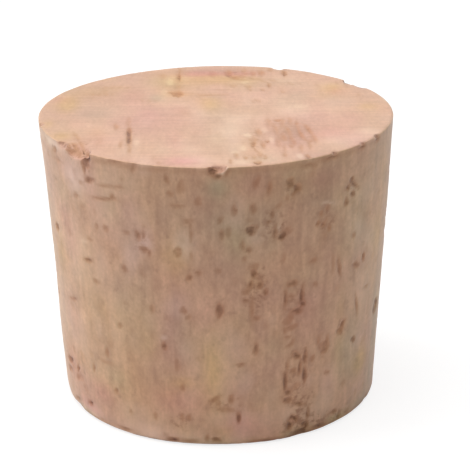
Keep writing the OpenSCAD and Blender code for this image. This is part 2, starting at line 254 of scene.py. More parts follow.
# Marks in the side: turn, height, width round the plug, length up it, tilt (over 0
# leans the upper end left), and how dark the mark is, where under 0 is pale.
sideMarks = [
    # under the flaked left rim
    [-52, 37.8, 2.6, 0.8, 14, 0.45], [-48, 37.4, 1, 0.8, 0, 0.5], [-44.4, 37.2, 1.6, 1.1, 10, 1],
    [-45, 36.6, 1.6, 1.2, 0, 0.55], [-45.8, 35.9, 0.6, 1.9, 0, 0.6], [-43.5, 34.5, 1.8, 0.8, 10, 0.55],
    [-62.5, 36.5, 1.3, 0.9, 15, 0.45], [-51, 31.8, 1, 0.6, 0, 0.35], [-38.5, 32.5, 3.8, 0.4, 7, 0.5],
    [-37, 34.3, 2.6, 0.4, 5, 0.35], [-34.5, 33, 1, 0.8, 0, 0.4], [-33, 37.7, 1.4, 0.4, 0, 0.6],
    [-26, 37.3, 0.8, 1, 0, 0.3], [-15.5, 36.3, 0.6, 1.1, 20, 0.5], [-14.5, 34.5, 0.8, 0.7, 0, 0.35],
    [-12.5, 33, 1.6, 0.5, 0, 0.4], [-6, 33.6, 0.8, 1, 0, 0.35], [-46, 26.4, 1, 0.4, 0, 0.35],
    # left, upper half
    [-9, 31.1, 0.8, 0.5, 0, 0.5], [-8.5, 29.8, 0.4, 2.6, 0, 0.4], [-26, 28.5, 0.7, 1.3, 0, 0.45],
    [-24, 28.9, 0.7, 0.9, 0, 0.35], [-13, 27, 0.9, 1, 0, 0.4], [-24, 26.8, 0.9, 0.8, 0, 0.45],
    [-22.5, 26.4, 0.5, 0.6, 0, 0.5], [-8.5, 26.5, 0.4, 1.2, 0, 0.25], [-9.5, 23.8, 0.7, 0.7, 0, 0.5],
    [-6.3, 24.3, 0.8, 0.8, 0, 0.4], [-31.5, 23.7, 0.8, 0.8, 0, 0.35], [-68.5, 25.5, 1.6, 1.2, 0, 0.5],
    [-48, 23.4, 1.7, 0.5, 12, 0.75], [-49.5, 25.8, 1.4, 0.6, 12, -0.3],
    # left, lower half
    [-22.5, 18.8, 0.6, 1.1, 0, 0.45], [-11.5, 19.2, 0.9, 1, 0, 0.35], [-59.5, 16.7, 2.2, 0.45, 14, 0.6],
    [-18.5, 13.9, 0.7, 0.8, 0, 0.6], [-19, 15, 0.8, 0.6, 0, -0.3], [-14.5, 11.5, 0.6, 1.5, 0, 0.35],
    [-42, 11.2, 0.6, 1.4, 0, 0.4], [-50, 8, 0.6, 1.2, 0, 0.35], [-69, 6.8, 2.4, 0.9, 15, 0.9],
    [-70, 5.2, 2.2, 0.8, 15, 0.6], [-61.5, 6.4, 1, 1, 0, 0.6], [-39, 6, 0.7, 0.9, 0, 0.45],
    [-1.8, 6.9, 1.5, 0.8, 20, 0.4], [-1, 6.2, 0.6, 1, 0, 0.35], [-13.5, 4, 0.4, 1, 0, 0.4],
    [-11, 4.2, 0.5, 0.8, 0, 0.45],
    # the worn foot on the left
    [-54.5, 2.4, 1, 0.7, 15, 0.9], [-65, 1.6, 2.4, 0.5, 14, 0.6], [-17, 0.7, 1.6, 0.5, 0, 1],
    [-2, 1, 1, 0.7, 0, 0.75], [-5, 1.3, 0.5, 1, 0, 0.5], [-12, 0.7, 2, 0.3, 0, 0.7],
    [-37, 0.8, 2, 0.4, 0, 0.6], [-48, 0.8, 1.4, 0.4, 0, 0.3],
    # right, upper half
    [16, 35, 0.6, 1.8, -10, 0.45], [12, 36, 0.7, 1.6, -15, 0.35], [23, 35.3, 1.1, 1.3, 0, 0.6],
    [25, 34.4, 1.2, 1.3, 0, 0.75], [22, 33.5, 0.5, 0.8, 0, 0.35], [11, 32.5, 0.7, 1.2, 0, 0.5],
    [10, 29.5, 1.1, 1, 0, 0.8], [12, 30, 0.5, 0.6, 0, 0.4], [17, 31.5, 0.5, 1.1, 0, 0.6],
    [16, 30.6, 0.8, 0.5, 0, 0.6], [20.7, 28.6, 1.2, 0.9, 35, 0.9], [18, 29, 0.6, 1.5, 0, 0.6],
    # the pale mark at turn 19.3 is a painted highlight on the lit edge of the pore at turn 20.7
    [19.3, 29.3, 0.5, 0.7, 0, -0.45], [22.2, 29.3, 0.8, 0.5, 25, 0.5], [1, 29.3, 0.7, 1.2, 0, 0.5],
    [3, 29.5, 0.6, 1.1, 0, 0.4], [0.5, 31.2, 0.6, 0.6, 0, 0.4], [9.5, 27.2, 0.8, 1, 0, 0.5],
    [7.5, 27.8, 0.6, 1.2, 0, 0.4], [8, 26, 0.5, 0.8, 0, 0.35], [33, 29.2, 0.7, 0.6, 0, 0.65],
    [35.2, 28.9, 0.9, 0.5, 0, 0.65], [36.5, 29.5, 0.4, 0.5, 0, 0.4], [37.8, 28.2, 0.5, 0.8, 0, 0.55],
    [34.3, 30.3, 0.5, 0.7, 0, 0.5], [37, 31.6, 1.6, 0.3, -15, -0.4], [48.5, 33, 0.5, 2.1, 55, 0.8],
    [47.2, 33.8, 0.6, 0.7, 0, 0.75], [45.5, 32.8, 0.8, 0.6, -40, 0.8], [47.6, 32.7, 0.7, 0.6, 0, -0.4],
    [48, 31.7, 1, 0.6, 0, 0.65], [45, 31, 0.8, 1, 0, 0.5],
    # right, the middle
    [11, 25, 1.1, 0.5, 0, 0.35], [11, 24, 0.7, 1.3, 0, 0.7], [10.2, 22.5, 0.6, 0.9, 0, 0.6],
    [12.8, 22.4, 0.9, 0.8, 0, 0.6], [15, 21.3, 0.7, 0.7, 0, 0.65], [8, 21.6, 0.9, 0.9, 0, 0.35],
    [8.5, 20.4, 0.7, 0.5, 0, 0.6], [10.5, 19.2, 0.5, 3, 0, 0.45], [12, 17.8, 1, 0.6, 0, 0.4],
    [0, 19.2, 0.9, 2, 0, 0.6], [22, 20, 0.6, 2, 0, 0.7], [27.8, 20, 0.6, 2.6, -8, 0.75],
    [28.5, 18.6, 0.9, 0.7, 0, 0.8], [26.5, 18, 1.6, 0.7, 0, 0.75], [32, 24.4, 1.1, 0.6, 0, 0.45],
    [33, 21, 0.8, 0.8, 0, 0.35], [43, 22.4, 0.7, 2.8, 15, 0.5], [50, 26, 0.9, 1, 0, 0.35],
    [52, 21.7, 1.9, 0.8, -15, 0.55], [56.5, 22.3, 0.8, 1.2, 0, 0.6],
    # right, lower half
    [12, 13.7, 0.6, 1.5, 0, 0.55], [6.5, 11.6, 1, 0.7, 0, 0.45], [24, 13.5, 1.2, 0.6, 25, 0.5],
    [23, 17, 1.1, 1.3, 0, 0.4], [24.3, 15.9, 1.5, 0.6, 15, 0.45], [22, 15.6, 0.6, 1, 0, 0.4],
    [23, 14.6, 1, 0.4, 0, 0.4], [25, 14, 0.6, 0.9, 0, 0.35], [22.5, 8.5, 0.6, 2.6, 0, 0.8],
    [23, 10.6, 0.5, 1.2, 0, 0.5], [25.5, 9.6, 0.9, 0.6, 0, 0.5], [23.5, 6.8, 1, 0.6, 0, 0.7],
    [23.5, 5.7, 1.4, 0.8, -20, 0.8], [26, 12, 0.8, 0.6, 0, 0.45], [27, 11.7, 1, 0.7, -30, 0.75],
    [28, 10, 0.5, 1.8, 0, 0.75], [30, 11.4, 0.6, 1.8, 0, 0.75], [30, 8.7, 0.6, 2.4, 0, 0.8],
    [28, 4.8, 2, 0.6, -20, 0.65], [39, 12.8, 0.6, 1.6, 0, 0.4], [35, 13, 0.7, 1.2, 15, 0.35],
    [32.5, 10.8, 0.8, 0.8, 0, 0.4], [39.5, 8.2, 1, 0.5, -10, 0.55], [45, 13.2, 0.8, 0.8, 0, 0.55],
    [46.5, 14, 0.8, 1.5, -25, 0.6], [54, 16, 0.6, 3.4, 12, 0.5], [53, 11.2, 0.9, 1.4, 50, 0.7],
    [72, 13.4, 2, 2.2, 0, 0.7], [3.6, 6.8, 0.7, 1.3, -15, 0.45], [1.7, 5.3, 2.2, 0.6, -10, 0.35],
    [6, 4.1, 0.6, 1.4, 0, 0.7],
    # the worn foot on the right
    [26.5, 2.8, 1, 1, 0, 0.85], [24.5, 1.9, 0.7, 1.2, 0, 0.95], [29, 0.5, 2, 0.9, 0, 1],
    [30.4, 0.5, 1.3, 1, 0, 1], [31, 1.6, 1, 0.9, 0, 0.9], [32, 3.2, 0.6, 1.7, 0, 0.7],
    [30.5, 4.5, 0.8, 0.6, 0, 0.4], [37.5, 0.7, 2.4, 0.6, 0, 0.9], [44, 1.8, 1.6, 0.6, 0, 0.6],
    [47, 0.8, 0.8, 0.5, 0, 0.7], [51.5, 1, 1.2, 0.4, 0, 0.6],
    # fainter marks
    [5, 32.5, 0.8, 1.2, 0, 0.4], [10, 31, 0.7, 0.4, 0, 0.3], [19, 32.5, 0.8, 0.7, 0, 0.25],
    [23, 29, 1, 0.7, 0, 0.3], [24, 33.5, 0.5, 0.6, 0, 0.3], [21, 25.6, 0.6, 1.2, 0, 0.25],
    [24, 20.2, 1.1, 0.5, 0, 0.5], [24.2, 21.9, 1.5, 0.6, 0, 0.75], [40, 23, 0.6, 2.5, 0, 0.25],
    [36, 27.4, 0.6, 0.9, 0, 0.25], [37, 31, 0.7, 0.6, 0, 0.3], [23.5, 11, 0.5, 1.5, 0, 0.3],
    [38, 12, 1.6, 1.6, 0, 0.45], [27, 7.6, 1.5, 0.8, 0, 0.3], [60, 17.6, 1.5, 0.5, 0, 0.3],
    [-11, 35.5, 0.8, 1.5, 0, 0.3], [-32, 34.5, 1.2, 0.5, 0, 0.3], [-48, 33.8, 1, 0.5, 0, 0.3],
    [-61, 35.4, 2, 0.4, 0, 0.25], [-42, 28.5, 0.8, 1.2, 0, 0.25], [-38, 28.6, 0.8, 0.7, 0, 0.3],
    [-30, 28.7, 0.9, 0.5, 0, 0.3], [0, 24.6, 0.8, 0.8, 0, 0.3], [-10, 18.3, 0.8, 0.8, 0, 0.3],
    [-44.5, 20.8, 1.2, 0.6, 0, 0.3], [-35, 15.6, 0.9, 0.6, 0, 0.3], [-13, 8.3, 0.8, 1, 0, 0.3],
    [-43, 9.7, 1.8, 0.6, 0, 0.3], [-61, 5.2, 2.4, 1, 15, 0.3], [-33, 3.7, 0.5, 0.7, 0, 0.3],
    [-23.5, 3.8, 0.7, 1.2, 0, 0.3],
    # the nick in the front rim, with painted shade on its left and a painted highlight on its right wall,
    # and marks along the rim, some of them painted shade just under it
    [-1.2, 37.5, 1.1, 1.4, -20, 0.9], [0.2, 36.8, 1.2, 0.6, 0, 0.65], [1.6, 37.5, 0.6, 1.8, -30, -1],
    [3, 37.3, 0.5, 1, -30, 0.5], [37, 37.5, 2.4, 0.5, 0, 0.7], [32.5, 37.6, 0.5, 0.3, 0, 0.5],
    [31, 36.8, 0.8, 0.4, 0, 0.4], [29, 37.2, 2, 0.6, 0, 0.5], [51.5, 37.5, 1.6, 0.5, 0, 0.7],
    [61, 37.4, 1.6, 0.5, 0, 0.7],
]

# Thin dark lines of painted shade: one just under the front rim, and painted contact
# shadow along the worn edge of the foot, one all the way round and two over stretches
# of it. Each is height, half width, how dark, and the turns over which it comes in and goes out.
paintedShadeLines = [
    (37.4, 0.5, 0.4, (-45, -40), (72, 55)),
    (0.15, 0.4, 1.0, (-190, -180), (190, 180)),
    (0.4, 0.45, 0.8, (6, 12), (95, 78)),
    (0.5, 0.45, 0.7, (-75, -66), (-42, -48)),
]

# Marks in the top: x, y, width across, length front to back, tilt, and how dark
topMarks = [
    # the long slit and the flaked rim on the left
    [-11.05, -8.5, 0.55, 3.8, 1, 1], [-10.95, -11.3, 0.55, 3.8, 1, 1], [-10.7, -15.5, 0.4, 3, 0, 0.5],
    [-11.3, -4.5, 0.6, 4.5, 0, 0.3], [-12.8, -6, 0.6, 2.6, 0, 0.45], [-11.9, -13.4, 0.5, 2.6, 0, 0.4],
    [-10, -12.6, 0.7, 2.4, 0, -0.4], [-17.5, -10, 0.5, 3.5, 12, 0.4], [-16.8, -13, 0.5, 2.5, 8, 0.6],
    [-17.9, -14.4, 1.6, 1.2, 0, 0.6], [-16.9, -14.9, 0.6, 1.2, 0, 0.55], [-18, -12.9, 1.6, 1, 0, 0.75],
    [-16.5, -15.6, 0.9, 1, 0, 0.6], [-7, -21, 0.5, 0.8, 0, 0.4],
    # the soft patch and the cluster in front of the middle
    [10.2, -6, 0.5, 3, 0, 0.4], [10.5, -10.5, 0.6, 4, 8, 0.55], [11.2, -12.8, 0.9, 1, 0, 0.6],
    [11.4, -15, 0.5, 2.5, 0, 0.4], [7.8, -4.2, 1, 1, 0, 0.5], [8.2, -11.5, 1, 3, 0, 0.4],
    [8.3, -16, 0.4, 3, 0, 0.35], [8.2, -18.5, 0.5, 1.6, 0, 0.5], [9.2, -15, 0.6, 2, 0, 0.4],
    [11, -19.5, 0.6, 1.3, 0, 0.9], [5.2, -9, 0.8, 2.6, 0, 0.45], [4.6, -12, 0.6, 2, 0, 0.4],
    [4.5, -14, 0.5, 2.6, -6, 0.8], [5.7, -14.5, 0.6, 2.4, 0, 0.55], [5.2, -18, 0.6, 3, 0, 0.4],
    [5.8, -19.3, 0.6, 1.2, 0, 0.6], [4.9, -21.4, 0.8, 1.2, 0, 0.9], [2.3, -18.5, 0.6, 2.4, 0, 0.4],
    [1.6, -20.7, 0.4, 1.6, 0, 0.6], [4.5, -19.3, 0.4, 1, 0, 0.5], [6, -8, 0.8, 2, 0, -0.4],
    [10, -19, 0.8, 1, 0, -0.6], [3.9, -10, 0.8, 1.2, 0, -0.6], [3.2, -15.5, 0.7, 1.6, 0, -0.5],
    [2.2, -17.2, 0.8, 1.2, 0, -0.6], [5.2, -16.8, 0.7, 1, 0, -0.5], [6.8, -12.5, 0.6, 2, 0, -0.5],
    [4.3, -12.4, 0.7, 0.8, 0, 0.8], [6.3, -13, 0.5, 0.8, 0, 0.7], [4.7, -16.3, 0.5, 0.9, 0, 0.7],
    [3.4, -19.4, 0.4, 1, 0, 0.6],
    # faint upright streaks in the soft patch
    [6.6, -5, 0.7, 4, 0, 0.3], [7.4, -8, 0.6, 4.5, 5, 0.35], [8.3, -5.5, 0.6, 3.6, -6, 0.35],
    [9, -9, 0.6, 4.5, 4, 0.4], [9.4, -4.6, 0.6, 3, 0, 0.35], [10.3, -8.5, 0.5, 4, 0, 0.4],
    [7.6, -13.5, 0.6, 4, 0, 0.35], [9.3, -13, 0.8, 4, 6, 0.4], [10.3, -16, 0.6, 3, 0, 0.35],
    [11.6, -8.5, 0.6, 4, 10, 0.55], [12.1, -12.3, 0.7, 3, 0, 0.45],
    # back left
    [-5.3, 9, 1.8, 3, 0, 0.6], [-5.2, 12, 0.9, 2, 0, 0.3], [-5.1, 17, 0.5, 3.6, 0, 0.9],
    [-5, 20, 0.5, 2.5, 0, 0.5], [-7.4, 17.5, 1, 3, 0, 0.25], [-7, 10, 0.8, 2.6, 0, -0.3],
    [-6.3, 14.5, 1, 3, 0, -0.4],
    # back right
    [1.8, 18.5, 1, 3.5, 0, 0.6], [2.6, 16.5, 1.2, 1.8, 0, 0.55], [3.6, 17, 0.8, 2.4, 0, 0.4],
    [4, 19.5, 0.8, 3, 0, 0.4], [6.3, 18.5, 0.8, 3, 0, 0.5], [5.2, 18.2, 0.7, 2.6, 0, 0.45],
    [-0.5, 18.5, 0.8, 3, 0, 0.3], [-0.6, 8.2, 4.5, 0.8, 0, 0.35], [0.6, 10.2, 3, 0.7, 0, 0.3],
    [6.3, 10.2, 0.6, 1.2, 0, 0.5], [7.3, 14.5, 2.4, 0.7, 0, 0.3], [10.5, 13, 2.8, 0.7, 0, 0.3],
    [-9, 5.6, 3, 0.7, 0, 0.25], [-15.5, 9, 3.5, 0.8, 0, 0.25], [-13.5, 12.5, 4, 0.8, 0, 0.25],
    [4, 15.6, 5, 0.7, 0, 0.35], [9.5, 18, 0.6, 2.6, 0, 0.8], [7.6, 20, 0.6, 1.2, 0, 0.5],
    [7.2, 12.3, 0.5, 1.8, 0, 0.7], [2.3, 12.2, 0.9, 1.2, 0, 0.4], [4.3, 11.8, 0.9, 1.4, 0, 0.4],
    [4.6, 10.5, 0.5, 1, 0, 0.4], [8.8, 9, 1.2, 1.2, 0, 0.35], [5.5, 5, 1.2, 1.4, 0, 0.35],
    [17.7, 12, 0.5, 1.4, 0, 0.4], [16.7, 13.5, 0.8, 0.8, 0, 0.4], [19, 6.5, 0.4, 2, 0, 0.35],
    [3.8, 14, 1.2, 1.4, 0, -0.4], [11, 2, 2, 1.5, 0, -0.3],
]

# Crumbled places: [turn, height, width, length, tilt, strength] on the side,
# and [x, y, width, length, tilt, strength] in the top
sideCrumbs = [
    [29, 1.8, 5, 4, 0, 0.9], [29, 5.5, 3.6, 5, 0, 0.7], [12, 21.5, 3, 7, 0, 0.65], [27, 10, 3.6, 6, 0, 0.5],
    [25.5, 19.7, 3.4, 4.2, 0, 0.5], [36, 29.5, 3, 3.8, 0, 0.7], [18, 30, 3.4, 4.5, 0, 0.6],
    [47.5, 32.5, 2.8, 3, 0, 0.6], [-47, 36.3, 5, 2.6, 0, 0.3], [-62, 36.5, 3, 2.4, 0, 0.5],
    [-62, 2.5, 5, 3, 10, 0.35], [-14, 3.5, 3.5, 3, 0, 0.6], [-25, 27.6, 2.6, 3, 0, 0.4],
    [-60, 6, 2.6, 2.4, 0, 0.5], [24, 34.5, 2.4, 2.6, 0, 0.7], [9.8, 29.8, 2, 2, 0, 0.35],
    [54, 22, 3, 2, 0, 0.6], [45.5, 13.6, 2, 3, 0, 0.6], [1.2, 6.2, 4.4, 2.6, 0, 0.55],
    [40, 1.4, 10, 1.6, 0, 0.8], [0, 37.2, 2.2, 1.6, 0, 0.6],
]
topCrumbs = [
    [9.6, -9.5, 4.6, 11, 8, 0.3], [5, -12, 2.4, 9, 0, 0.5], [3.6, 18, 6, 4, 0, 0.4],
    [-16.8, -12.5, 2.2, 4.5, 12, 0.6],
]

# Where the cork's colour drifts: [turn, height, width, length, amount] on the side
# and [x, y, width, length, amount] in the top. Rosy runs from olive under 0 to pink
# over 0, honey from mauve to yellow, and tone from dark to pale; a few of the side's
# tone patches are painted light and shade, marked below.
sideDrifts = {
    "rosy": [
        [4, 29.5, 8, 8, -1.3], [52, 28, 8, 12, -0.9], [-28, 31, 7, 4, -0.4], [-30, 20, 8, 12, -0.9],
        [0, 35.3, 3.4, 3, -1.6], [-67, 7, 7, 7, 1.9], [-55, 1.5, 6, 3, 1.6], [-47, 5, 6, 4, 1.6],
        [-15, 6, 8, 6, 1.6], [6, 3, 6, 4, 1.2], [3, 9, 5, 10, 0.6], [56, 22, 6, 3, 0.5],
        [28, 18, 8, 8, 0.9], [16, 18, 5, 10, 0.6], [27, 9, 6, 8, 0.4], [46, 14, 2, 3, 0.6],
        [50, 10, 5, 9, -1.4], [60, 4, 7, 3, 0.3], [-46, 37, 4, 2, 0.4], [12, 35.5, 6, 4, 0.6],
        [33, 35, 5, 4, 1.1], [-24, 1.5, 38, 4, 0.4], [-3, 19, 6, 6, 0.7], [-62, 28, 5, 4, 0.7],
        [-18, 22, 5, 8, 0.7], [38, 22, 4, 14, 0.5], [72, 10, 6, 16, -1.5], [47, 0.5, 6, 2, -1.8],
        [-58, 25, 5, 6, 0.6], [-64, 14, 7, 6, 0.6], [-20, 13, 4, 6, 0.5], [67, 9, 5, 9, 0.9],
        [-58, 0.6, 5, 2, -1.8], [23, 35, 2.4, 4, -0.9], [17, 28, 3, 5, -0.8], [35, 22, 8, 5, -0.6],
        [25, 0.6, 3, 1.6, -1], [63, 0.6, 4, 2, -1.4], [-38, 8, 4, 4, -0.5], [-5, 0.6, 8, 1.6, -0.6],
    ],
    "honey": [
        [-30, 27, 7, 12, -0.6], [-34, 21, 6, 6, -0.7], [-50, 34, 10, 8, -0.6], [-15, 25.5, 5, 5, 1.2],
        [-67, 22, 4, 6, 1.6], [-49, 20, 5, 12, 0.4], [-3, 11, 3, 10, 1.5], [-13, 9, 4, 2, 1.1],
        [-15, 16, 5, 8, -1.6], [-31, 11, 9, 14, 0.6], [60, 7, 4, 4, 2.2], [11, 22.5, 3, 3, 0.7],
        [30, 0.5, 4, 2, 1.5], [11, 0.5, 4, 2, 1], [45, 14, 2, 12, 1], [68, 24, 5, 8, 1.8],
        [15, 28, 6, 8, -0.5], [9, 8, 5, 8, -0.9], [46, 0.5, 4, 2, 1.5], [-47, 2.5, 6, 5, -0.8],
        [14, 16, 3, 5, -0.6], [-70, 8, 4, 5, 1], [5, 24, 26, 22, -0.5], [-57, 0.8, 4, 2, 1],
        [34, 20, 6, 10, -0.5], [72, 32, 5, 8, 1.2], [-60, 8, 5, 5, 1.2], [-65, 25, 5, 6, 0.6],
        [-50, 25, 5, 6, 0.4], [-50, 14, 4, 5, 0.4], [60, 8, 4, 4, 0.8], [2, 2, 3, 2, 0.7],
        [-5, 32, 7, 7, -0.7], [-15, 19, 5, 4, -0.4], [-13, 12.5, 4, 4, -0.7], [20, 11, 4, 5, -0.4],
        [42, 6, 3, 4, -0.4], [-15, 0.6, 5, 1.6, -0.8], [-61, 0.6, 4, 1.6, -0.8], [62, 0.6, 4, 1.6, -0.8],
    ],
    "toneAndPaintedLight": [
        [-64, 37.3, 8, 1.6, 1.8], [-52, 34, 6, 6, 1.5], [-42, 31, 4, 6, 0.5], [-27, 27, 5, 6, 0.8],
        [10, 9, 3, 4, 0.4], [0, 15, 6, 7, 0.1], [-42, 13, 1.5, 8, -0.9], [-68, 5, 5, 5, -0.3],
        # [25, 22, ...] is painted shade, darkening the lower right where the light is weakest
        [-12, 35, 8, 4, -0.3], [13, 36, 8, 4, -0.7], [35, 33, 8, 7, -1.4], [25, 22, 9, 12, -0.5],
        # [-15, 1, ...] and [2, 3.5, ...] are painted light along the foot, standing in for light from the
        # floor
        [-18, 9, 4, 5, -0.5], [38, 16, 3, 10, -0.7], [-15, 1, 26, 3, 0.9], [2, 3.5, 30, 4, 0.6],
        [-18, 22, 2, 4, -0.5], [-13, 19, 3, 4, 0.5], [52, 27, 3, 4, 0.8], [58, 14, 4, 5, 0.6],
        [31, 8, 3, 4, 0.8], [-65, 14, 3, 4, 0.6], [43, 27, 6, 5, -1.1], [40, 36, 6, 2.5, -0.6],
        [-25, 12, 4, 8, -0.5], [12, 29, 3, 3, 0.5], [-10, 28, 4, 6, 0.5], [-40, 24, 4, 4, 0.5],
        # [-55, 1, ...] is painted light on the shaded face of the foot's chip
        [-23, 28, 2, 3, 0.6], [-55, 1, 6, 4, 0.7], [9, 18, 4, 5, -0.4],
    ],
}
topDrifts = {
    "rosy": [
        [-8, -3, 9, 14, 0.7], [-2.5, 19, 5, 4, 1.8], [4, 18.5, 6, 3, 1.2], [15.5, -3, 7, 10, 0.7],
        [9, -10, 6, 13, 0.6], [-4.5, -20, 5, 4, 1.2], [-14, -11, 4, 7, 0.5], [0, -8, 6, 18, -0.8],
        [-15, -1, 6, 8, -0.4], [-8, 15, 5, 6, -0.7], [9, 4, 5, 8, -0.5], [16, 9, 3, 4, 1], [-5, 9, 3, 3, 1],
        [-5, -12, 2.5, 10, 0.8], [-5, 2, 3, 6, 0.5], [-20.5, 7, 3, 4, 1], [9, 14, 5, 5, -0.5],
        [13, -11, 6, 4, 0.6], [5, 8, 3, 5, 0.4], [-14, 16, 4, 4, -0.3], [-12, 8, 5, 8, 0.5],
        [0, 18.5, 10, 2.4, 1.2], [15, -9, 5, 5, 0.9], [7, -14, 4, 4, 0.5], [-4, -20.5, 4, 3, 0.9],
        [-8, 7, 2.4, 4, -1.1], [11, 7, 4, 5, -0.5], [5, -20, 4, 3, -0.8],
    ],
    "honey": [
        [-6, 15, 6, 13, 1.9], [1, 16, 8, 6, 2.3], [-0.8, 4, 3.4, 8, 1.8], [-19.5, 5, 3, 9, 2.8],
        [-16, 10, 6, 6, 1.1], [15.5, 10, 4, 5, 2], [14, 7, 3, 3, 0.6], [19.8, 1.5, 3, 4, 1.5],
        [-19.5, -9.5, 3, 5, 2], [-15, -11, 3, 8, 0.4], [4, -14, 4, 10, 0.6], [-9, -4, 8, 13, -0.6],
        [12, -3, 6, 6, -0.6], [17, -14, 5, 8, -0.8], [10, -13, 3, 4, -0.7], [5, 15, 4, 5, 0.9],
        [8, -8, 5, 4, 0.5], [-13, 12, 4, 4, 0.7], [-15, 17, 4, 3, 0.8], [-5, -14, 4, 6, -0.3],
        [-5, 8.6, 4, 3, 1.8], [-2, 16, 4, 6, 0.8], [16, 6, 7, 3, 0.5], [-15, -8, 3, 5, 0.4],
        [-2, 5, 3, 6, 0.5], [-21.5, -4, 1.6, 4, 1.6], [16, 12, 3, 3, 0.8], [11, -19, 6, 4, -0.8],
    ],
    "toneAndPaintedLight": [
        [1.5, -8, 5, 8, 0.5], [15, -13, 5, 7, 0.7], [-16, 11, 12, 14, -0.9], [-20, 2, 5, 12, -0.9],
        [-1, 20, 14, 4, -0.6], [10, 0, 5, 8, 0.5], [4, -3, 6, 6, 0.7], [-6, 13, 4, 5, -1.2],
        [0, 1, 3, 3, -0.5], [9.3, -9, 5.5, 11, -1.1], [-2, -20, 8, 4, 0.7], [-10, 0, 4, 4, 0.4],
        [14, 20, 5, 4, -0.5], [-16, 0, 5, 7, -0.8], [-10, 18, 6, 4, -0.5], [0, 7.5, 3, 3, -0.7],
        [19, -9, 4, 4, 0.8], [3, -21, 3, 2, 0.8], [-3, -16, 4, 4, 0.6],
    ],
}

# The rest of the bark: the same pores as in the solid, and small marks between them
scatter = {
    "backTurns": (108, 252), "backColumns": 9, "backRows": 4,
    "flankTurns": (92, -92), "flankSlits": 12,
    "levels": (0.1, 0.92),    # shares of the height
    "looseness": 0.7,         # how far off an even grid, in steps of it
    "footSlits": 9, "goldenTurn": 137.5,
    "strides": (0.7549, 0.5698, 0.3820),
    # each kind: width and length at size 1, each with the power of size that it grows by,
    # then size and darkness, each the least and how much more at most
    "back": ((0.8, 1), (1.4, 1), (0.6, 0.7), (0.45, 0.5)),
    "flank": ((2.6, 1), (0.5, 0), (0.5, 0.7), (0.4, 0.5)),
    "foot": ((0.7, 0.5), (5, 1), (0.3, 0.5), (0.5, 0.45)),
    "flankWander": (-13, 26),      # degrees, the least and how much more
    "footReaches": (0.35, 0.5),    # shares of the foot's radius, the same way

    # small marks, by seeded draws from the least to the most
    "unseenMarks": 150, "unseenPlaces": ((78, 282), (1, 37)),    # turns and heights at the back
    "clusters": 11, "clusterPlaces": ((80, 3), (280, 35)),       # least and most turn and height
    "clusterMarks": 7, "clusterSpread": (3.2, 1.5),
    "faintMarks": 260, "faintPlaces": ((-180, 180), (0.5, 37.5)), "faintDarkness": (0.05, 0.22),
    "widths": (0.4, 0.95), "tilts": (-25, 25),
    "lengths": (0.7, 1.5),                         # as shares of the width
    "darkness": (0.25, 0.75), "darkPower": 1.3,    # a power over 1 makes more of them faint
    "longest": 3.2, "leastFacing": 0.05,           # bounds on how wide a pore comes out
    # each end: how many, how dark, and what it adds to the seed
    "ends": {"top": (60, (0.04, 0.16), 1), "foot": (70, (0.08, 0.6), 2)},
    "endReach": 21.5, "endShapes": ((0.4, 0.8), (0.8, 2.8), (-8, 8)),    # width, length, tilt
    "seed": 23,
}


def draw(i, stride):
    # even draws between 0 and 1: the fraction of i strides
    step = i * scatter["strides"][stride]
    return step - np.floor(step)


def upTo(pair, share):
    # the least, plus a share of how much more it may be
    return pair[0] + pair[1] * share


def loose(pair, steps, i, share):
    # place of step i of a grid between a pair of values: half a step in, and off that by
    # up to half the looseness
    off = scatter["looseness"] * (share - 0.5)
    return pair[0] + (pair[1] - pair[0]) * (i + 0.5 + off) / steps


def grown(kind, i, first, second):
    # rows of marks at their places: width and length x size to a power, and no tilt
    (width, widthPower), (length, lengthPower), sizes, dark = scatter[kind]
    size = upTo(sizes, draw(i, 2))
    return np.stack([first, second, width * size ** widthPower, length * size ** lengthPower,
                     np.zeros(len(i)), upTo(dark, draw(i, 1))], 1)


def solidPores(spec):
    # the back's pores and the flanks' slits, by the same walk of draws as in the solid
    i = np.arange(spec["backRows"] * spec["backColumns"])
    place = loose(spec["backTurns"], spec["backColumns"], i % spec["backColumns"], draw(i, 0))
    level = loose(spec["levels"], spec["backRows"], i // spec["backColumns"], draw(i, 1))
    back = grown("back", i, place, plug["height"] * level)
    i = np.arange(2 * spec["flankSlits"])
    place = np.array(spec["flankTurns"])[i // spec["flankSlits"]] + upTo(spec["flankWander"], draw(i, 0))
    level = loose(spec["levels"], spec["flankSlits"], i % spec["flankSlits"], draw(i, 1))
    return np.concatenate([back, grown("flank", i, place, plug["height"] * level)])


def solidFootSlits(spec):
    # slits in the foot: each a golden turn on from the last, reach by the root of its share
    i = np.arange(spec["footSlits"])
    angle = np.radians(i * spec["goldenTurn"])
    reach = footRadius * upTo(spec["footReaches"], np.sqrt(i / spec["footSlits"]))
    return grown("foot", i, reach * np.sin(angle), -reach * np.cos(angle))


def between(rng, pairs, count):
    # even draws, a column for each pair of a least and a most
    return np.stack([rng.uniform(*pair, count) for pair in pairs], 1)


def seededSide(spec):
    # a pore runs front to back, so where the side turns away it comes out wider:
    # width / |cos turn|, up to the longest
    rng = np.random.default_rng(spec["seed"])
    faintCount = spec["faintMarks"]
    centres = rng.uniform(*spec["clusterPlaces"], (spec["clusters"], 2))
    lone = between(rng, spec["unseenPlaces"], spec["unseenMarks"])
    near = np.repeat(centres, spec["clusterMarks"], 0)
    near = near + rng.normal(0, spec["clusterSpread"], near.shape)
    place = np.concatenate([lone, near, between(rng, spec["faintPlaces"], faintCount)])
    total = len(place)
    width = rng.uniform(*spec["widths"], total)
    facing = np.maximum(abs(np.cos(np.radians(place[:, 0]))), spec["leastFacing"])
    opening = np.minimum(width / facing, spec["longest"])
    length = rng.uniform(*spec["lengths"], total) * width
    darkness = rng.uniform(*spec["darkness"], total) ** spec["darkPower"]
    darkness[-faintCount:] = rng.uniform(*spec["faintDarkness"], faintCount)
    tilt = rng.uniform(*spec["tilts"], total) * width / opening
    return np.stack([place[:, 0], place[:, 1], opening, length, tilt, darkness], 1)


